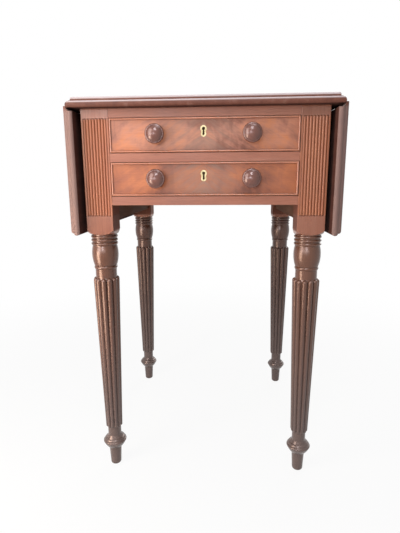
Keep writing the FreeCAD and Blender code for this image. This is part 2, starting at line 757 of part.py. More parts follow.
def raised_leaf():
    leaf = box(PIN_X + RULE_GAP, PIN_X + LEAF_WIDTH, -TOP_Y, TOP_Y, UNDER_Z, TABLE_HEIGHT)
    cove = pin_cylinder(OVOLO_RADIUS + RULE_GAP, -TOP_Y - CUT_PAST, TOP_Y + CUT_PAST)
    outer = edge_cutter(2 * (TOP_Y + CUT_PAST)).translated(V(PIN_X + LEAF_WIDTH, 0, UNDER_Z))
    leaf = leaf.cut([cove, outer] + end_cutters())
    for y in (-HINGE_Y, HINGE_Y):
        pocket = hinge_plate(y, PIN_X, PIN_X + LEAF_PLATE_WIDTH, TENON_GAP)
        holes = screw_holes(HINGE_SCREW, leaf_screw_places(y), Z_AXIS)
        leaf = leaf.cut([pocket] + holes)
    return leaf


def hang(shape):
    """Turn a raised leaf, or a piece on it, down about the hinge pin."""
    hung = shape.copy()
    hung.rotate(V(PIN_X, 0, PIN_Z), Y_AXIS, 90)
    return hung


def make_leaves():
    leaf = hang(raised_leaf())
    save("right_leaf", leaf)
    save("left_leaf", mirror_x(leaf))
    top_plates, leaf_plates, pins, top_screws, leaf_screws = [], [], [], [], []
    for y in (-HINGE_Y, HINGE_Y):
        top_plate, leaf_plate, pin = hinge_parts(y)
        top_plates.append(top_plate)
        leaf_plates.append(hang(leaf_plate))
        pins.append(pin)
        top_screws += screws_at(HINGE_SCREW, top_screw_places(y), Z_AXIS)
        leaf_screws += [hang(screw) for screw in screws_at(HINGE_SCREW, leaf_screw_places(y), Z_AXIS)]
    save("right_hinge_top_plates", *top_plates)
    save("right_hinge_leaf_plates", *leaf_plates)
    save("right_leaf_screws", *leaf_screws)
    save("left_hinge_top_plates", *[mirror_x(shape) for shape in top_plates])
    save("left_hinge_leaf_plates", *[mirror_x(shape) for shape in leaf_plates])
    save("left_leaf_screws", *[mirror_x(shape) for shape in leaf_screws])
    save("hinge_pins", *(pins + [mirror_x(shape) for shape in pins]))
    save("hinge_top_screws", *(top_screws + [mirror_x(shape) for shape in top_screws]))


# Drawer furniture, drawn on the front face

def knob(spigot):
    """Turned knob along +Z with its base at z = 0 and its spigot behind it."""
    rim = KNOB_PROJECTION - KNOB_DOME
    rim_middle = rim - KNOB_RIM / 2
    dome_height = KNOB_DOME - KNOB_STEP
    dome_radius = (KNOB_FACE_RADIUS ** 2 + dome_height ** 2) / (2 * dome_height)
    half_face = KNOB_FACE_RADIUS / 2
    half_drop = dome_radius - math.sqrt(dome_radius ** 2 - half_face ** 2)
    return turned([
        (0, -spigot),
        (SPIGOT_RADIUS, -spigot),
        (SPIGOT_RADIUS, 0),
        (KNOB_BASE_RADIUS, 0),
        ((KNOB_BASE_RADIUS + KNOB_STEP, KNOB_BASE_HEIGHT / 2), (KNOB_BASE_RADIUS, KNOB_BASE_HEIGHT)),
        ((KNOB_NECK_RADIUS, (KNOB_BASE_HEIGHT + rim - KNOB_RIM) / 2), (KNOB_FACE_RADIUS, rim - KNOB_RIM)),
        ((KNOB_RADIUS, rim_middle), (KNOB_FACE_RADIUS + KNOB_STEP, rim)),
        (KNOB_FACE_RADIUS, rim),
        (KNOB_FACE_RADIUS, rim + KNOB_STEP),
        ((half_face, KNOB_PROJECTION - half_drop), (0, KNOB_PROJECTION)),
    ])


def knob_places(bottom):
    z = bottom + OPENING_HEIGHT / 2 + KNOB_RISE
    return [V(-KNOB_X, -FACE_Y, z), V(KNOB_X, -FACE_Y, z)]


def keyhole(bottom, grow, y0, y1):
    """Keyhole-shaped plug in the middle of a drawer, grown all round, from y0 back to y1."""
    middle = bottom + OPENING_HEIGHT / 2 + KEYHOLE_RISE
    eye = V(0, y0, middle + KEY_DROP / 2)
    foot = V(0, y0, middle - KEY_DROP / 2)
    depth = y1 - y0
    waist = KEY_WAIST + grow
    neck = box(-waist, waist, y0, y1, foot.z, eye.z)
    rounds = [
        Part.makeCylinder(KEY_EYE_RADIUS + grow, depth, eye, Y_AXIS),
        Part.makeCylinder(KEY_FOOT_RADIUS + grow, depth, foot, Y_AXIS),
    ]
    return neck.fuse(rounds)


def escutcheon(bottom):
    y0 = -FACE_Y - ESCUTCHEON_PROUD
    y1 = -FACE_Y + ESCUTCHEON_DEPTH
    hole = keyhole(bottom, 0, y0 - CUT_PAST, y1 + CUT_PAST)
    return keyhole(bottom, ESCUTCHEON_RIM, y0, y1).cut(hole)


def bead_frame(bottom, depth):
    """Four mitred cock beads round a drawer front, standing proud of it and let in by depth."""
    x = LEG_IN_X - DRAWER_GAP
    low = bottom + FRONT_GAP
    high = bottom + OPENING_HEIGHT - DRAWER_GAP
    y0 = -FACE_Y - BEAD_PROUD
    y1 = -FACE_Y + depth
    corners = [(-x, low), (x, low), (x, high), (-x, high)]
    inner = [
        (-x + BEAD, low + BEAD),
        (x - BEAD, low + BEAD),
        (x - BEAD, high - BEAD),
        (-x + BEAD, high - BEAD),
    ]
    beads = []
    for index in range(4):
        after = (index + 1) % 4
        ring = [corners[index], corners[after], inner[after], inner[index]]
        mitre = face_of([V(px, y0, pz) for px, pz in ring]).extrude(V(0, y1 - y0, 0))
        if index % 2 == 0:
            z0 = low if index == 0 else high - BEAD
            strip = box(-x, x, y0, y1, z0, z0 + BEAD)
            along = X_AXIS
        else:
            x0 = x - BEAD if index == 1 else -x
            strip = box(x0, x0 + BEAD, y0, y1, low, high)
            along = Z_AXIS
        nose = [edge for edge in strip.Edges
                if abs(edge.CenterOfMass.y - y0) < BEAD_ROUND / 2
                and edge.tangentAt(edge.FirstParameter).cross(along).Length < 0.5]
        beads.append(strip.makeFillet(BEAD_ROUND, nose).common(mitre))
    return beads


# Locks

def bolt_y():
    return -FRONT_BACK_Y - LOCK_DEPTH + (LOCK_DEPTH - LOCK_PLATE - BOLT_THICKNESS) / 2


def lock_parts(bottom):
    """Lock case, bolt and screws, and the recess that they need in the drawer front."""
    top = bottom + OPENING_HEIGHT - DRAWER_GAP
    back = -FRONT_BACK_Y
    half = LOCK_WIDTH / 2
    wide = half + LOCK_FLANGE
    low = top - LOCK_HEIGHT
    case = box(-half, half, back - LOCK_DEPTH, back, low, top)
    plate = box(-wide, wide, back - LOCK_PLATE, back, low, top)
    selvedge = box(-wide, wide, back - LOCK_DEPTH, back, top - LOCK_PLATE, top)
    recess = [case, plate, selvedge]
    y = bolt_y()
    bolt_half = BOLT_WIDTH / 2
    foot = top - BOLT_LENGTH
    bolt = box(-bolt_half, bolt_half, y, y + BOLT_THICKNESS, foot, top)
    slot = grown_box(BOLT_GAP, -bolt_half, bolt_half, y, y + BOLT_THICKNESS, foot, top + CUT_PAST)
    places = []
    for x in (-half - LOCK_FLANGE / 2, half + LOCK_FLANGE / 2):
        for z in (low + LOCK_FLANGE, top - LOCK_FLANGE):
            places.append(V(x, back, z))
    holes = screw_holes(LOCK_SCREW, places, -Y_AXIS)
    keyway = keyhole(bottom, 0, back - LOCK_DEPTH - CUT_PAST, y)
    case = case.fuse([plate, selvedge]).cut([slot, keyway] + holes)
    return case, bolt, screws_at(LOCK_SCREW, places, -Y_AXIS), recess, holes


# Drawers

def drawer_side(bottom):
    """Right side of a drawer, with the dovetails that lap into the back of its front."""
    outer = LEG_IN_X - DRAWER_GAP
    inner = outer - DRAWER_SIDE
    low = bottom + RUN_GAP
    high = bottom + OPENING_HEIGHT - DRAWER_SIDE_DROP
    joint = -FRONT_BACK_Y
    side = box(inner, outer, joint, BACK_Y - DRAWER_BACK_GAP, low, high)
    crest = [edge for edge in side.Edges
             if edge.CenterOfMass.z > high - DRAWER_SIDE_ROUND
             and abs(edge.tangentAt(edge.FirstParameter).y) > 0.5]
    side = side.makeFillet(DRAWER_SIDE_ROUND, crest)
    lap = FRONT_THICKNESS - BEAD_DEPTH - TAIL_MARGIN
    pitch = (high - low) / TAILS
    tails = []
    for index in range(TAILS):
        z = low + (index + 0.5) * pitch
        tip, root = TAIL_TIP * pitch, TAIL_ROOT * pitch
        outline = [V(inner, joint, z - root), V(inner, joint - lap, z - tip),
                   V(inner, joint - lap, z + tip), V(inner, joint, z + root)]
        tails.append(face_of(outline).extrude(V(DRAWER_SIDE, 0, 0)))
    return side.fuse(tails)


def make_drawer(name, bottom):
    outer = LEG_IN_X - DRAWER_GAP
    inner = outer - DRAWER_SIDE
    low = bottom + FRONT_GAP
    high = bottom + OPENING_HEIGHT - DRAWER_GAP
    side_top = bottom + OPENING_HEIGHT - DRAWER_SIDE_DROP
    end = BACK_Y - DRAWER_BACK_GAP
    floor = bottom + RUN_GAP + BOTTOM_RISE
    groove = inner + BOTTOM_GROOVE
    panel = (-groove, groove, -FRONT_BACK_Y - BOTTOM_GROOVE, end, floor, floor + BOTTOM_THICKNESS)
    channel = grown_box(TENON_GAP, *panel)

    side = drawer_side(bottom)
    case, bolt, lock_screws, recess, lock_holes = lock_parts(bottom)
    front = box(-outer, outer, -FACE_Y, -FRONT_BACK_Y, low, high)
    field = box(-outer + BEAD, outer - BEAD, -FACE_Y, -FACE_Y + BEAD_DEPTH, low + BEAD, high - BEAD)
    rebate = box(-outer, outer, -FACE_Y, -FACE_Y + BEAD_DEPTH, low, high).cut(field)
    spigots = [aim(Part.makeCylinder(SPIGOT_RADIUS + SCREW_GAP, SPIGOT_LENGTH + SCREW_GAP), place, Y_AXIS)
               for place in knob_places(bottom)]
    inlay = keyhole(bottom, ESCUTCHEON_RIM, -FACE_Y - CUT_PAST, -FACE_Y + ESCUTCHEON_DEPTH)
    keyway = keyhole(bottom, 0, -FACE_Y - CUT_PAST, -FRONT_BACK_Y)
    front = front.cut([rebate, side, mirror_x(side), channel, inlay, keyway] + spigots + recess + lock_holes)

    grooved = side.cut(channel)
    back = box(-inner, inner, end - DRAWER_BACK, end, floor + BOTTOM_THICKNESS, side_top - DRAWER_BACK_DROP)
    save(name + "_front", front)
    save(name + "_beads", *bead_frame(bottom, BEAD_DEPTH))
    save(name + "_right_side", grooved)
    save(name + "_left_side", mirror_x(grooved))
    save(name + "_back", back)
    save(name + "_bottom", box(*panel))
    save(name + "_knobs", *[aim(knob(SPIGOT_LENGTH), place, -Y_AXIS) for place in knob_places(bottom)])
    save(name + "_escutcheon", escutcheon(bottom))
    save(name + "_lock_case", case)
    save(name + "_lock_bolt", bolt)
    save(name + "_lock_screws", *lock_screws)


# Rear of the frame: one rail dressed as two drawers, with beads, knobs and keyhole outlines

def make_back():
    rail = box(-LEG_IN_X, LEG_IN_X, BACK_Y, FACE_Y, APRON_Z, UNDER_Z)
    for tenon in back_tenons():
        rail = rail.fuse([box(*tenon), mirror_x(box(*tenon))])
    beads, knobs, outlines = [], [], []
    waste = []
    for bottom in (UPPER_Z, LOWER_Z):
        beads += bead_frame(bottom, DUMMY_BEAD_DEPTH)
        outlines.append(escutcheon(bottom))
        waste.append(keyhole(bottom, ESCUTCHEON_RIM, -FACE_Y - CUT_PAST, -FACE_Y + ESCUTCHEON_DEPTH))
        for place in knob_places(bottom):
            knobs.append(aim(knob(DUMMY_SPIGOT_LENGTH), place, -Y_AXIS))
            hole = Part.makeCylinder(SPIGOT_RADIUS + SCREW_GAP, DUMMY_SPIGOT_LENGTH + SCREW_GAP)
            waste.append(aim(hole, place, Y_AXIS))
    rail = rail.cut([mirror_y(shape) for shape in beads + waste])
    save("back_rail", rail)
    save("dummy_drawer_beads", *[mirror_y(shape) for shape in beads])
    save("dummy_drawer_knobs", *[mirror_y(shape) for shape in knobs])
    save("dummy_drawer_escutcheons", *[mirror_y(shape) for shape in outlines])


os.makedirs("parts", exist_ok=True)
make_legs()
make_rails()
make_runners()
make_fly_rails()
make_top()
make_leaves()
make_drawer("upper_drawer", UPPER_Z)
make_drawer("lower_drawer", LOWER_Z)
make_back()
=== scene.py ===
import bpy
import json
import math
from mathutils import Matrix, Vector

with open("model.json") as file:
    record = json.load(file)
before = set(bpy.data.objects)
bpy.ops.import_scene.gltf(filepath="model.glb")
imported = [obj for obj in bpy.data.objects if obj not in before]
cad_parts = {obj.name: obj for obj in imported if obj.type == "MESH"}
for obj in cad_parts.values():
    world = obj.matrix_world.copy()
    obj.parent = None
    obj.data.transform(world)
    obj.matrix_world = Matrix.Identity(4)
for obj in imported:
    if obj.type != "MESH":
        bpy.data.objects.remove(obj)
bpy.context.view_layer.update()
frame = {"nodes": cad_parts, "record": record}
NODES = frame["nodes"]

# Camera, from the photograph's perspective.
# Place in metres, turns in degrees, image height and focal length in pixels.
# A camera tilted by LEVEL_TILT looks along the floor.
IMAGE_HEIGHT = 533
FOCAL_PIXELS = 412.8
SENSOR_MM = 36.0
CAMERA_PLACE = (0.0383, -0.9513, 0.5792)
CAMERA_YAW = -3.56
CAMERA_PITCH = -11.66
CAMERA_ROLL = -0.36
LEVEL_TILT = 90

# Soft studio light: place, aim, width and height in metres, power in watts, colour
LAMPS = {
    "left_softbox": ((-0.54, -0.62, 0.72), (0.0, -0.2, 0.40), 0.35, 0.8, 4.5, (1.0, 0.93, 0.87)),
    "low_left": ((-0.64, -0.56, 0.24), (-0.15, -0.15, 0.24), 0.25, 0.4, 3.2, (1.0, 0.84, 0.66)),
    "window": ((-0.42, -2.20, 0.88), (0.0, -0.2, 0.50), 0.5, 0.3, 6.5, (0.84, 0.92, 1.0)),
    "strip": ((-0.62, -1.75, 0.62), (0.0, -0.2, 0.45), 2.2, 0.18, 6.8, (0.94, 0.97, 1.0)),
    "skylight": ((0.02, -1.08, 1.54), (0.0, -0.25, 0.62), 0.38, 0.58, 8.0, (0.88, 0.94, 1.0)),
    "ceiling": ((0.1, 0.0, 2.2), (0.05, -0.1, 0.6), 1.5, 0.8, 16, (0.95, 0.97, 1.0)),
    "rear_fill": ((0.9, 1.9, 1.3), (0.0, 0.1, 0.45), 1.6, 1.4, 23, (1.0, 0.98, 0.96)),
}
WHITE = (1.0, 1.0, 1.0, 1.0)
WORLD_STRENGTH = 0.12

# Floor: it fades from a faint shadow near the table to plain white
FLOOR_SIZE = 30.0
FLOOR_COLOUR = (0.62, 0.615, 0.61, 1.0)
FLOOR_ROUGHNESS = 0.9
FLOOR_SHINE = 0.1
FLOOR_NEAR = 0.45
FLOOR_FAR = 1.5
FLOOR_WHITENESS = 0.92

# Heights on a leg, in metres: where the turning begins, the reeded panel of the square head above it,
# and the stretches over which the dirt and painted shade in hollows thicken upwards and the foot darkens
# downwards
SHOULDER_Z = 0.488
SHOULDER_FADE = 0.008
PANEL_FOOT = 0.5180
PANEL_HEAD = 0.6865
PANEL_FADE = 0.004
DIRT_AND_SHADE_RISE = (0.06, 0.36)
FOOT_FALL = (0.46, 0.02)

# Legs: dirt and painted shade in the panel's hollows, share of the dirt and painted shade left at the
# foot, strength of the foot's tone, dullness of the panel, and the depths between which the painted shade
# of the rear legs sets in
PANEL_DIRT_AND_SHADE = 0.05
FOOT_DIRT_AND_SHADE_SHARE = 0.35
FOOT_STRENGTH = 0.75
PANEL_DULLNESS = 0.22
REAR_SHADE_START = -0.05
REAR_SHADE_END = 0.05

# Top and leaves: the height below which an edge belongs to a hanging leaf,
# and the strength of the painted highlight on the arris and of the painted sheen on the grey end edges
LEAF_HEAD = 0.702
LEAF_FADE = 0.008
ARRIS_HIGHLIGHT_STRENGTH = 0.75
LEAF_END_SHEEN_STRENGTH = 0.6

# Knobs: strength of the lighter tone on their faces
FACE_LIGHTENING_STRENGTH = 0.2

# Raw faces inside and underneath, darkened with painted shade: the stretch over which they set in, and
# how dull they are
RAW_AND_SHADE_FADE = 0.006
RAW_DULLNESS = 0.6

# Veneer of the drawer fronts: shares of its three patterns, reach of the plume and its painted sheen from
# the middle, and the dim rim, as shares of the front's width and height
PATCH_SHARE = 0.64
FLAME_SHARE = 0.22
STREAK_SHARE = 0.14
PLUME_REACH = 0.09
RIM_WIDTH = 0.10
RIM_HEIGHT = 0.30
RIM_STRENGTH = 0.55

# All woods: reach of the dirt and painted shade into hollows, radius of worn edges and depth of the pores
# in metres, strength of the patina and the noise levels it lies between, roughness of the clear coat,
# and how many rays look for hollows and edges
HOLLOW_REACH = 0.010
EDGE_RADIUS = 0.0012
PORE_DEPTH = 0.0004
PATINA_STRENGTH = 0.35
PATINA_LOW = 0.3
PATINA_HIGH = 0.7
COAT_ROUGHNESS = 0.2
HOLLOW_SAMPLES = 6
EDGE_SAMPLES = 4

# How far each axis shifts when a piece gets its own part of a pattern
SPREAD_SHARES = (1.0, 0.7, 1.3)

# All metals: reach of the dirt and depth of the pits in metres, strength of the relief,
# and how far the roughness swings below and above its middle
METAL_HOLLOW_REACH = 0.004
METAL_PIT_DEPTH = 0.0002
METAL_RELIEF = 0.15
METAL_SMOOTHER = 0.1
METAL_ROUGHER = 0.2

# Sizes of the normal's part along an axis between which a mask sets in
INWARD_FACING = (0.6, 0.9)
LEAF_END_FACING = (0.2, 0.7)
KNOB_FACE_FACING = (0.55, 0.97)
ARRIS_FROM_SIDE = (0.2, 0.6)
ARRIS_FROM_TOP = (0.995, 0.93)

# Grey ramps, as places and levels: pores and patina, the plume of the veneer, hollows and open places,
# edges, and the blotches and dirt of the metals
PORE_STOPS = [(0.36, 1.0), (0.50, 0.0)]
PATINA_STOPS = [(PATINA_LOW, 0.34), (PATINA_HIGH, 0.64)]
PLUME_STOPS = [(0.36, 0.85), (0.62, 0.25)]
HOLLOW_STOPS = [(0.25, 1.0), (0.75, 0.0)]
OPEN_STOPS = [(0.55, 0.0), (0.85, 1.0)]
EDGE_STOPS = [(0.80, 1.0), (0.985, 0.0)]
BLOTCH_STOPS = [(0.4, 0.0), (0.72, 0.8)]
METAL_DIRT_STOPS = [(0.2, 0.7), (0.75, 0.0)]

# Colours of the timber, in linear values
DARK = (0.095, 0.031, 0.020)
RUSSET = (0.145, 0.050, 0.032)
DEEP = (0.19, 0.060, 0.034)
SOBER = (0.215, 0.070, 0.037)
MELLOW = (0.25, 0.096, 0.057)
WARM = (0.28, 0.096, 0.054)
FAIR = (0.44, 0.156, 0.080)
ORANGE = (0.51, 0.184, 0.084)
ROSE = (0.32, 0.130, 0.085)
PEACH = (0.44, 0.176, 0.104)
CHESTNUT = (0.35, 0.115, 0.054)
AMBER = (0.43, 0.142, 0.058)
DUSTY = (0.32, 0.135, 0.088)
DUSK = (0.20, 0.100, 0.078)
OAK_DARK = (0.24, 0.14, 0.07)
OAK_PALE = (0.42, 0.27, 0.145)
PINE_DARK = (0.070, 0.030, 0.018)
PINE_PALE = (0.135, 0.064, 0.037)
BEECH_DARK = (0.13, 0.06, 0.03)
BEECH_PALE = (0.24, 0.115, 0.058)

# Colours mixed into the timber; some are painted highlight and sheen
# Grey of the veneer's plume, lightened as a painted sheen
PLUME_WITH_SHEEN = (0.25, 0.145, 0.108)
FACE_LIGHTENING = (0.27, 0.105, 0.078)
# Painted highlight along the top's rounded arris
ARRIS_HIGHLIGHT = (0.56, 0.47, 0.47)
# Painted sheen on the leaves' end edges
LEAF_END_SHEEN = (0.25, 0.165, 0.145)
FOOT = (0.090, 0.074, 0.072)

# Tones that multiply the timber, some of them painted shade, and the one that lightens worn edges
PORE_TONE = (0.42, 0.34, 0.30)
RIM_TONE = (0.55, 0.46, 0.42)
TURNING_TONE = (0.43, 0.45, 0.40)
PANEL_TONE = (1.14, 0.95, 0.62)
# Painted shade: darkens the turning of the rear legs
REAR_SHADE_TONE = (0.50, 0.43, 0.38)
# Dirt and painted shade: the colour that darkens the hollows
DIRT_AND_SHADE_TONE = (0.26, 0.18, 0.15)
# Painted shade on the faces that look inward or down, which are also unpolished
RAW_SHADE_TONE = (0.46, 0.38, 0.35)
WORN_TONE = (0.34, 0.22, 0.16)

# Woods: direction of the grain, colours along the figure, and what else sets each apart
NO_TINT = (1.0, 1.0, 1.0)
# The upper front's tones are paler and pinker than the lower's: partly the veneer's own colour and partly
# a painted sheen
SHEENED_UPPER_FRONT_TONES = [(0.40, DEEP), (0.46, ROSE), (0.53, PEACH), (0.61, ORANGE)]
LOWER_FRONT_TONES = [(0.40, DEEP), (0.46, WARM), (0.53, CHESTNUT), (0.61, AMBER)]
FRONT_FINISH = {
    "pore": 0.2,
    "ripple": 0.22,
    "polish": (0.34, 0.46),
    "shine": 0.30,
    "feather": True,
    "raw_and_shaded": ("y",),
}
WOODS = {
    "leg_mahogany": ("Z", [(0.28, DEEP), (0.44, SOBER), (0.62, MELLOW)], {
        "polish": (0.21, 0.29),
        "shine": 0.85,
        "tint": (1.0, 0.76, 0.69),
        "relief": 0.04,
        "dirt_and_shade": 0.9,
        "raw_and_shaded": ("x", "y"),
        "shaded_raw_above": SHOULDER_Z,
        "turned": True,
    }),
    "top_mahogany": ("Y", [(0.33, DARK), (0.55, RUSSET), (0.72, DUSK), (0.88, DEEP)], {
        "polish": (0.46, 0.56),
        "shine": 0.25,
        "raw_and_shaded": ("x", "under"),
        "moulded": True,
    }),
    "rail_mahogany": ("X", [(0.24, DEEP), (0.46, WARM), (0.72, DUSTY)], {
        "shine": 0.45,
        "raw_and_shaded": ("y",),
    }),
    "drawer_mahogany": ("X", SHEENED_UPPER_FRONT_TONES, FRONT_FINISH),
    "lower_front_mahogany": ("X", LOWER_FRONT_TONES, FRONT_FINISH),
    "bead_mahogany": ("X", [(0.24, WARM), (0.50, FAIR), (0.74, DUSTY)], {
        "polish": (0.24, 0.34),
        "shine": 0.55,
        "coat": 0.3,
        "dirt_and_shade": 0.3,
    }),
    "knob_mahogany": ("Y", [(0.30, DARK), (0.50, DARK), (0.75, RUSSET)], {
        "polish": (0.20, 0.27),
        "shine": 0.8,
        "tint": (1.0, 0.84, 0.82),
        "relief": 0.04,
        "dirt_and_shade": 0.95,
        "wear": 0.0,
        "lightened_faces": True,
    }),
    "drawer_oak": ("Y", [(0.30, OAK_DARK), (0.65, OAK_PALE)], {"polish": (0.55, 0.75)}),
    "carcase_pine": ("Y", [(0.30, PINE_DARK), (0.65, PINE_PALE)], {"polish": (0.7, 0.9), "shine": 0.1}),
    "fly_beech": ("Y", [(0.30, BEECH_DARK), (0.65, BEECH_PALE)], {"polish": (0.55, 0.75), "shine": 0.15}),
}

# Metals: colour, colour of the tarnish, roughness
METALS = {
    "brass": ((0.48, 0.39, 0.23), (0.28, 0.21, 0.10), 0.42),
    "iron": ((0.24, 0.22, 0.20), (0.11, 0.075, 0.055), 0.5),
    "lock_brass": ((0.16, 0.115, 0.06), (0.05, 0.036, 0.022), 0.5),
}
LOCK_ENDINGS = ("_lock_case", "_lock_bolt", "_lock_screws")


# Shader nodes

def new_material(name):
    material = bpy.data.materials.new(name)
    material.use_nodes = True
    tree = material.node_tree
    return material, tree, tree.nodes["Principled BSDF"]


def add(tree, kind, inputs=None, **settings):
    """One shader node; inputs maps socket names to values or to the sockets that feed them."""
    node = tree.nodes.new("ShaderNode" + kind)
    for key, value in settings.items():
        setattr(node, key, value)
    for key, value in (inputs or {}).items():
        if isinstance(value, bpy.types.NodeSocket):
            tree.links.new(value, node.inputs[key])
        else:
            node.inputs[key].default_value = value
    return node


def noise(tree, vector, detail, roughness, distortion=0.0, scale=1.0):
    inputs = {
        "Vector": vector,
        "Scale": scale,
        "Detail": detail,
        "Roughness": roughness,
        "Distortion": distortion,
    }
    return add(tree, "TexNoise", inputs).outputs["Fac"]


def ramp(tree, factor, stops):
    """Colour ramp; stops are (place, colour) or (place, grey level)."""
    node = add(tree, "ValToRGB", {"Fac": factor})
    elements = node.color_ramp.elements
    while len(elements) < len(stops):
        elements.new(1.0)
    for element, (place, colour) in zip(elements, stops):
        element.position = place
        element.color = (*colour, 1.0) if isinstance(colour, tuple) else (colour, colour, colour, 1.0)
    return node.outputs["Color"]


def blend(tree, mode, factor, below, above):
    """Two colours mixed; the node's colours are its inputs 6 and 7 and its output 2."""
    node = add(tree, "Mix", data_type="RGBA", blend_type=mode)
    for socket, value in ((node.inputs[0], factor), (node.inputs[6], below), (node.inputs[7], above)):
        if isinstance(value, bpy.types.NodeSocket):
            tree.links.new(value, socket)
        elif isinstance(value, tuple):
            socket.default_value = (*value, 1.0)
        else:
            socket.default_value = value
    return node.outputs[2]


def maths(tree, operation, first, second=0.0):
    return add(tree, "Math", {0: first, 1: second}, operation=operation).outputs[0]


def times(tree, first, second):
    return maths(tree, "MULTIPLY", first, second)


def weighted(tree, *pairs):
    """Sum of values, each times its weight."""
    total = None
    for value, weight in pairs:
        term = times(tree, value, weight)
        total = term if total is None else maths(tree, "ADD", total, term)
    return total


def fade(tree, value, start, end, low=0.0, high=1.0):
    """Smooth step from low at start to high at end."""
    inputs = {"Value": value, "From Min": start, "From Max": end, "To Min": low, "To Max": high}
    return add(tree, "MapRange", inputs, interpolation_type="SMOOTHSTEP").outputs[0]


def object_space(tree, scale=(1.0, 1.0, 1.0), turn=(0.0, 0.0, 0.0), spread=0.0):
    """Object coordinates, scaled and turned; spread shifts each piece to its own part of the pattern."""
    place = add(tree, "TexCoord").outputs["Object"]
    if spread:
        luck = add(tree, "ObjectInfo").outputs["Random"]
        longest = tuple(spread * share for share in SPREAD_SHARES)
        shift = add(tree, "VectorMath", {0: longest, "Scale": luck}, operation="SCALE").outputs[0]
        place = add(tree, "VectorMath", {0: place, 1: shift}, operation="ADD").outputs[0]
    return add(tree, "Mapping", {"Vector": place, "Scale": scale, "Rotation": turn}).outputs[0]


def parts_of(tree, output):
    """X, Y and Z of the place on the piece, or of its normal, in the piece's own space."""
    vector = add(tree, "TexCoord").outputs[output]
    return add(tree, "SeparateXYZ", {0: vector}).outputs


def openness(tree, reach):
    """1 on open faces and less in hollows, felt as far as reach."""
    settings = {"Distance": reach}
    return add(tree, "AmbientOcclusion", settings, samples=HOLLOW_SAMPLES).outputs["AO"]


def stretched(grain, across, along):
    """Scale that draws a pattern out along one axis."""
    return tuple(along if axis == grain else across for axis in "XYZ")


# Figure of the wood

def plain_figure(tree, grain):
    """Bands and ribbons of plain timber, drawn out along the grain."""
    band_space = object_space(tree, stretched(grain, across=26, along=1.6), spread=9)
    bands = noise(tree, band_space, detail=6, roughness=0.62, distortion=0.9)
    ribbon_space = object_space(tree, stretched(grain, across=110, along=4.0), spread=5)
    ribbon = noise(tree, ribbon_space, detail=3, roughness=0.5, distortion=0.4)
    return bands, ribbon


def from_middle(tree):
    """Distance to the left or right of the table's middle."""
    return maths(tree, "ABSOLUTE", parts_of(tree, "Object")[0])


def feathered_space(tree, across, along, lean):
    """Object space mirrored about the middle and drawn out along a slant."""
    place = parts_of(tree, "Object")
    mirrored = add(tree, "CombineXYZ", {0: from_middle(tree), 1: place[1], 2: place[2]}).outputs[0]
    turn = (0.0, math.radians(lean), 0.0)
    slanted = add(tree, "Mapping", {"Vector": mirrored, "Rotation": turn}).outputs[0]
    return add(tree, "Mapping", {"Vector": slanted, "Scale": (across, across, along)}).outputs[0]


def feather_figure(tree):
    """Patches, flames and streaks of veneer cut at a fork of the tree, paler towards the ends."""
    patch_space = object_space(tree, scale=(12, 12, 18), spread=5)
    patch = noise(tree, patch_space, detail=3, roughness=0.5, distortion=0.8)
    flame_space = feathered_space(tree, across=95, along=11, lean=55)
    flame = noise(tree, flame_space, detail=4, roughness=0.55, distortion=1.4)
    streak_space = feathered_space(tree, across=420, along=16, lean=62)
    streak = noise(tree, streak_space, detail=3, roughness=0.55, distortion=0.6)
    bands = weighted(tree, (patch, PATCH_SHARE), (flame, FLAME_SHARE), (streak, STREAK_SHARE))
    paler = fade(tree, from_middle(tree), start=0.05, end=0.14, low=-0.02, high=0.06)
    bands = maths(tree, "ADD", bands, paler)
    ribbon_space = object_space(tree, scale=(60, 30, 22), turn=(0.0, 0.6, 0.0), spread=5)
    ribbon = noise(tree, ribbon_space, detail=3, roughness=0.5, distortion=1.2)
    return bands, ribbon, flame


def feather_tones(tree, colour, flame):
    """The greyish plume in the middle of a drawer front, lightened as a painted sheen, and its dim rim.

    Generated coordinates run from 0 to 1 over the front, so each edge is half a unit from the middle.
    """
    near = fade(tree, from_middle(tree), PLUME_REACH, 0.0)
    plume_sheen = times(tree, near, ramp(tree, flame, PLUME_STOPS))
    # The plume's own grey, with a painted sheen in its lightened colour
    colour = blend(tree, "MIX", plume_sheen, colour, PLUME_WITH_SHEEN)
    reach = parts_of(tree, "Generated")
    half = 0.5
    rims = []
    for index, width in ((0, RIM_WIDTH), (2, RIM_HEIGHT)):
        off = maths(tree, "ABSOLUTE", maths(tree, "SUBTRACT", reach[index], half))
        rims.append(fade(tree, off, half - width, half))
    rim = maths(tree, "MAXIMUM", *rims)
    return blend(tree, "MULTIPLY", times(tree, rim, RIM_STRENGTH), colour, RIM_TONE)


# Age of the wood

def inner_faces(tree, axes, above):
    """Mask of the flat faces that look inward or down, which are left unpolished and darkened with
    painted shade.
    """
    place = parts_of(tree, "Object")
    facing = parts_of(tree, "Normal")
    mask = None
    for axis in axes:
        if axis == "under":
            inward = times(tree, facing[2], -1.0)
        else:
            index = "xyz".index(axis)
            side = maths(tree, "SIGN", place[index])
            inward = times(tree, times(tree, side, facing[index]), -1.0)
        mask = inward if mask is None else maths(tree, "MAXIMUM", mask, inward)
    mask = fade(tree, mask, *INWARD_FACING)
    if above:
        mask = times(tree, mask, fade(tree, place[2], above, above + RAW_AND_SHADE_FADE))
    return mask


def facing_ends(tree, start, end):
    """Mask of the faces that look to the front or the back of the table."""
    return fade(tree, maths(tree, "ABSOLUTE", parts_of(tree, "Normal")[1]), start, end)


def arris_highlight_mask(tree):
    """Mask of the rounded arris along the upper side of the top's moulding, where a highlight is painted.
    """
    upward = parts_of(tree, "Normal")[2]
    return times(tree, fade(tree, upward, *ARRIS_FROM_SIDE), fade(tree, upward, *ARRIS_FROM_TOP))


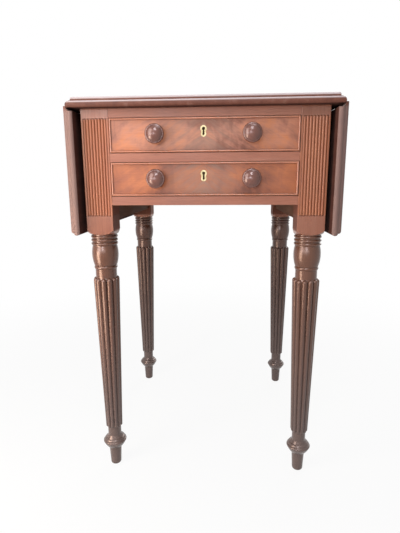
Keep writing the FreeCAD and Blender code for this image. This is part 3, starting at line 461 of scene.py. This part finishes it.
def sheened_leaf_ends(tree):
    """Mask of the leaves' end edges, where a greyish sheen is painted."""
    height = parts_of(tree, "Object")[2]
    hanging = fade(tree, height, LEAF_HEAD, LEAF_HEAD - LEAF_FADE)
    return times(tree, hanging, facing_ends(tree, *LEAF_END_FACING))


def reeded_panel(tree):
    """Mask of the reeded panel on the square head of a leg."""
    height = parts_of(tree, "Object")[2]
    above_foot = fade(tree, height, PANEL_FOOT, PANEL_FOOT + PANEL_FADE)
    below_head = fade(tree, height, PANEL_HEAD, PANEL_HEAD - PANEL_FADE)
    return times(tree, above_foot, below_head)


def turned_tones(tree, colour, dirt_and_shade):
    """Colour and dirt with painted shade of a leg: brighter panel, dark turning and foot, painted shade
    darkening the rear legs.
    """
    place = parts_of(tree, "Object")
    height = place[2]
    below = fade(tree, height, SHOULDER_Z, SHOULDER_Z - SHOULDER_FADE)
    # Dirt and painted shade in the hollows, thinner towards the foot
    dirt_and_shade_by_height = fade(tree, height, *DIRT_AND_SHADE_RISE, FOOT_DIRT_AND_SHADE_SHARE * dirt_and_shade, dirt_and_shade)
    dirt_and_shade = add(tree, "Mix", {0: below, 2: PANEL_DIRT_AND_SHADE, 3: dirt_and_shade_by_height}).outputs[0]
    colour = blend(tree, "MULTIPLY", below, colour, TURNING_TONE)
    colour = blend(tree, "MULTIPLY", reeded_panel(tree), colour, PANEL_TONE)
    # Painted shade: the rear legs' turning is darkened
    rear_shade = times(tree, below, fade(tree, place[1], REAR_SHADE_START, REAR_SHADE_END))
    colour = blend(tree, "MULTIPLY", rear_shade, colour, REAR_SHADE_TONE)
    colour = blend(tree, "MIX", fade(tree, height, *FOOT_FALL, 0.0, FOOT_STRENGTH), colour, FOOT)
    return colour, dirt_and_shade


def shade_dirt_and_wear(tree, colour, rounded, dirt_and_shade, wear):
    """Dirt and painted shade in the hollows, and rubbed edges; rounded is the normal with softened edges.
    """
    # Dirt and painted shade: hollows are darkened by how closed in they are
    shade = openness(tree, HOLLOW_REACH)
    hollows = times(tree, ramp(tree, shade, HOLLOW_STOPS), dirt_and_shade)
    colour = blend(tree, "MULTIPLY", hollows, colour, DIRT_AND_SHADE_TONE)
    sharp = add(tree, "NewGeometry").outputs["Normal"]
    edge = add(tree, "VectorMath", {0: rounded, 1: sharp}, operation="DOT_PRODUCT").outputs["Value"]
    rubbed = times(tree, ramp(tree, edge, EDGE_STOPS), wear)
    rubbed = times(tree, rubbed, ramp(tree, shade, OPEN_STOPS))
    return blend(tree, "SCREEN", rubbed, colour, WORN_TONE)


def wood(name, grain, tones, pore=0.35, polish=(0.32, 0.46), shine=0.28, tint=NO_TINT, coat=0.0,
         dirt_and_shade=0.45, wear=0.3, ripple=0.3, relief=0.15, feather=False, raw_and_shaded=(), shaded_raw_above=0.0,
         turned=False, moulded=False, lightened_faces=False):
    """Polished timber: bands and pores drawn out along the grain, dirt and painted shade in the hollows,
    worn edges.
    """
    material, tree, surface = new_material(name)
    flame = None
    if feather:
        bands, ribbon, flame = feather_figure(tree)
    else:
        bands, ribbon = plain_figure(tree, grain)
    fibre_space = object_space(tree, stretched(grain, across=1500, along=45), spread=3)
    fibre = noise(tree, fibre_space, detail=2, roughness=0.6)
    patina = noise(tree, object_space(tree, spread=4), detail=4, roughness=0.6, scale=7.0)

    colour = ramp(tree, weighted(tree, (ribbon, ripple), (bands, 1 - ripple)), tones)
    pores = ramp(tree, fibre, PORE_STOPS)
    colour = blend(tree, "MULTIPLY", times(tree, pores, pore), colour, PORE_TONE)
    colour = blend(tree, "OVERLAY", PATINA_STRENGTH, colour, ramp(tree, patina, PATINA_STOPS))
    gloss = fade(tree, patina, PATINA_LOW, PATINA_HIGH, *polish)
    if feather:
        colour = feather_tones(tree, colour, flame)
    if turned:
        colour, dirt_and_shade = turned_tones(tree, colour, dirt_and_shade)
        gloss = maths(tree, "ADD", gloss, times(tree, reeded_panel(tree), PANEL_DULLNESS))
    rounded = add(tree, "Bevel", {"Radius": EDGE_RADIUS}, samples=EDGE_SAMPLES).outputs[0]
    colour = shade_dirt_and_wear(tree, colour, rounded, dirt_and_shade, wear)
    if lightened_faces:
        face = times(tree, facing_ends(tree, *KNOB_FACE_FACING), FACE_LIGHTENING_STRENGTH)
        colour = blend(tree, "MIX", face, colour, FACE_LIGHTENING)
    if moulded:
        # Painted highlight on the arris of the top's moulding
        colour = blend(tree, "MIX", times(tree, arris_highlight_mask(tree), ARRIS_HIGHLIGHT_STRENGTH), colour, ARRIS_HIGHLIGHT)
        # Painted sheen on the hanging leaves' end edges
        colour = blend(tree, "MIX", times(tree, sheened_leaf_ends(tree), LEAF_END_SHEEN_STRENGTH), colour, LEAF_END_SHEEN)
    if raw_and_shaded:
        bare_and_shaded = inner_faces(tree, raw_and_shaded, shaded_raw_above)
        # Painted shade and unpolished dullness on the inward and downward faces
        colour = blend(tree, "MULTIPLY", bare_and_shaded, colour, RAW_SHADE_TONE)
        gloss = maths(tree, "ADD", gloss, times(tree, bare_and_shaded, RAW_DULLNESS))

    tree.links.new(colour, surface.inputs["Base Color"])
    tree.links.new(gloss, surface.inputs["Roughness"])
    surface.inputs["Specular IOR Level"].default_value = shine
    surface.inputs["Specular Tint"].default_value = (*tint, 1.0)
    surface.inputs["Coat Weight"].default_value = coat
    surface.inputs["Coat Roughness"].default_value = COAT_ROUGHNESS
    bump = add(tree, "Bump", {"Strength": relief, "Distance": PORE_DEPTH, "Height": fibre})
    if not turned:
        tree.links.new(rounded, bump.inputs["Normal"])
    tree.links.new(bump.outputs[0], surface.inputs["Normal"])
    return material


# Metal

def metal(name, colour, tarnish, roughness):
    """Metal with blotches of tarnish, dirty in the hollows."""
    material, tree, surface = new_material(name)
    blotch = noise(tree, object_space(tree, spread=3), detail=5, roughness=0.6, scale=160)
    mixed = blend(tree, "MIX", ramp(tree, blotch, BLOTCH_STOPS), colour, tarnish)
    dirt = ramp(tree, openness(tree, METAL_HOLLOW_REACH), METAL_DIRT_STOPS)
    tree.links.new(blend(tree, "MIX", dirt, mixed, tarnish), surface.inputs["Base Color"])
    gloss_range = {"To Min": roughness - METAL_SMOOTHER, "To Max": roughness + METAL_ROUGHER}
    gloss = add(tree, "MapRange", {"Value": blotch, **gloss_range}).outputs[0]
    tree.links.new(gloss, surface.inputs["Roughness"])
    surface.inputs["Metallic"].default_value = 1.0
    bump = add(tree, "Bump", {"Strength": METAL_RELIEF, "Distance": METAL_PIT_DEPTH, "Height": blotch})
    tree.links.new(bump.outputs[0], surface.inputs["Normal"])
    return material


def make_materials():
    materials = {}
    for name, (grain, tones, finish) in WOODS.items():
        materials[name] = wood(name, grain, tones, **finish)
    for name, (colour, tarnish, roughness) in METALS.items():
        materials[name] = metal(name, colour, tarnish, roughness)
    return materials


def dress_nodes():
    """One material on every node; the locks and the lower drawer's front have their own."""
    materials = make_materials()
    for part in frame["record"]["subparts"]:
        node = part["node"]
        finish = part["material_slot"]
        if node.endswith(LOCK_ENDINGS):
            finish = "lock_brass"
        elif node == "lower_drawer_front":
            finish = "lower_front_mahogany"
        mesh = NODES[node].data
        mesh.materials.clear()
        mesh.materials.append(materials[finish])


# Floor, light and camera

def seen_rays(tree):
    """1 for the rays of the camera and of mirror images, which show the plain white background."""
    rays = add(tree, "LightPath").outputs
    seen = maths(tree, "MAXIMUM", rays["Is Camera Ray"], rays["Is Glossy Ray"])
    return maths(tree, "MAXIMUM", seen, rays["Is Transmission Ray"])


def make_floor():
    half = FLOOR_SIZE / 2
    mesh = bpy.data.meshes.new("floor")
    corners = [(-half, -half, 0), (half, -half, 0), (half, half, 0), (-half, half, 0)]
    mesh.from_pydata(corners, [], [(0, 1, 2, 3)])
    floor = bpy.data.objects.new("floor", mesh)
    bpy.context.scene.collection.objects.link(floor)
    material, tree, surface = new_material("floor")
    surface.inputs["Base Color"].default_value = FLOOR_COLOUR
    surface.inputs["Roughness"].default_value = FLOOR_ROUGHNESS
    surface.inputs["Specular IOR Level"].default_value = FLOOR_SHINE
    white = add(tree, "Emission", {"Color": WHITE, "Strength": 1.0}).outputs[0]
    place = add(tree, "TexCoord").outputs["Object"]
    reach = add(tree, "VectorMath", {0: place}, operation="LENGTH").outputs["Value"]
    whiteness = fade(tree, reach, FLOOR_NEAR, FLOOR_FAR, FLOOR_WHITENESS, 1.0)
    share = times(tree, seen_rays(tree), whiteness)
    mixed = add(tree, "MixShader", {0: share, 1: surface.outputs[0], 2: white}).outputs[0]
    tree.links.new(mixed, tree.nodes["Material Output"].inputs["Surface"])
    mesh.materials.append(material)


def make_world():
    world = bpy.data.worlds.new("studio")
    bpy.context.scene.world = world
    world.use_nodes = True
    tree = world.node_tree
    inputs = {"Value": seen_rays(tree), "To Min": WORLD_STRENGTH, "To Max": 1.0}
    strength = add(tree, "MapRange", inputs).outputs[0]
    tree.links.new(strength, tree.nodes["Background"].inputs["Strength"])
    tree.nodes["Background"].inputs["Color"].default_value = WHITE


def make_lamps():
    for name, (place, aim, width, height, power, colour) in LAMPS.items():
        lamp = bpy.data.lights.new(name, "AREA")
        lamp.shape = "RECTANGLE"
        lamp.size = width
        lamp.size_y = height
        lamp.energy = power
        lamp.color = colour
        holder = bpy.data.objects.new(name, lamp)
        holder.location = place
        holder.rotation_euler = (Vector(aim) - Vector(place)).to_track_quat("-Z", "Y").to_euler()
        holder.visible_camera = False
        bpy.context.scene.collection.objects.link(holder)


def make_camera():
    camera = bpy.data.cameras.new("camera")
    camera.sensor_width = SENSOR_MM
    camera.lens = FOCAL_PIXELS / IMAGE_HEIGHT * SENSOR_MM
    holder = bpy.data.objects.new("camera", camera)
    yaw = Matrix.Rotation(math.radians(-CAMERA_YAW), 4, "Z")
    pitch = Matrix.Rotation(math.radians(LEVEL_TILT + CAMERA_PITCH), 4, "X")
    roll = Matrix.Rotation(math.radians(CAMERA_ROLL), 4, "Z")
    holder.matrix_world = Matrix.Translation(CAMERA_PLACE) @ yaw @ pitch @ roll
    bpy.context.scene.collection.objects.link(holder)
    bpy.context.scene.camera = holder


dress_nodes()
make_floor()
make_world()
make_lamps()
make_camera()
bpy.context.scene.view_settings.view_transform = "Standard"
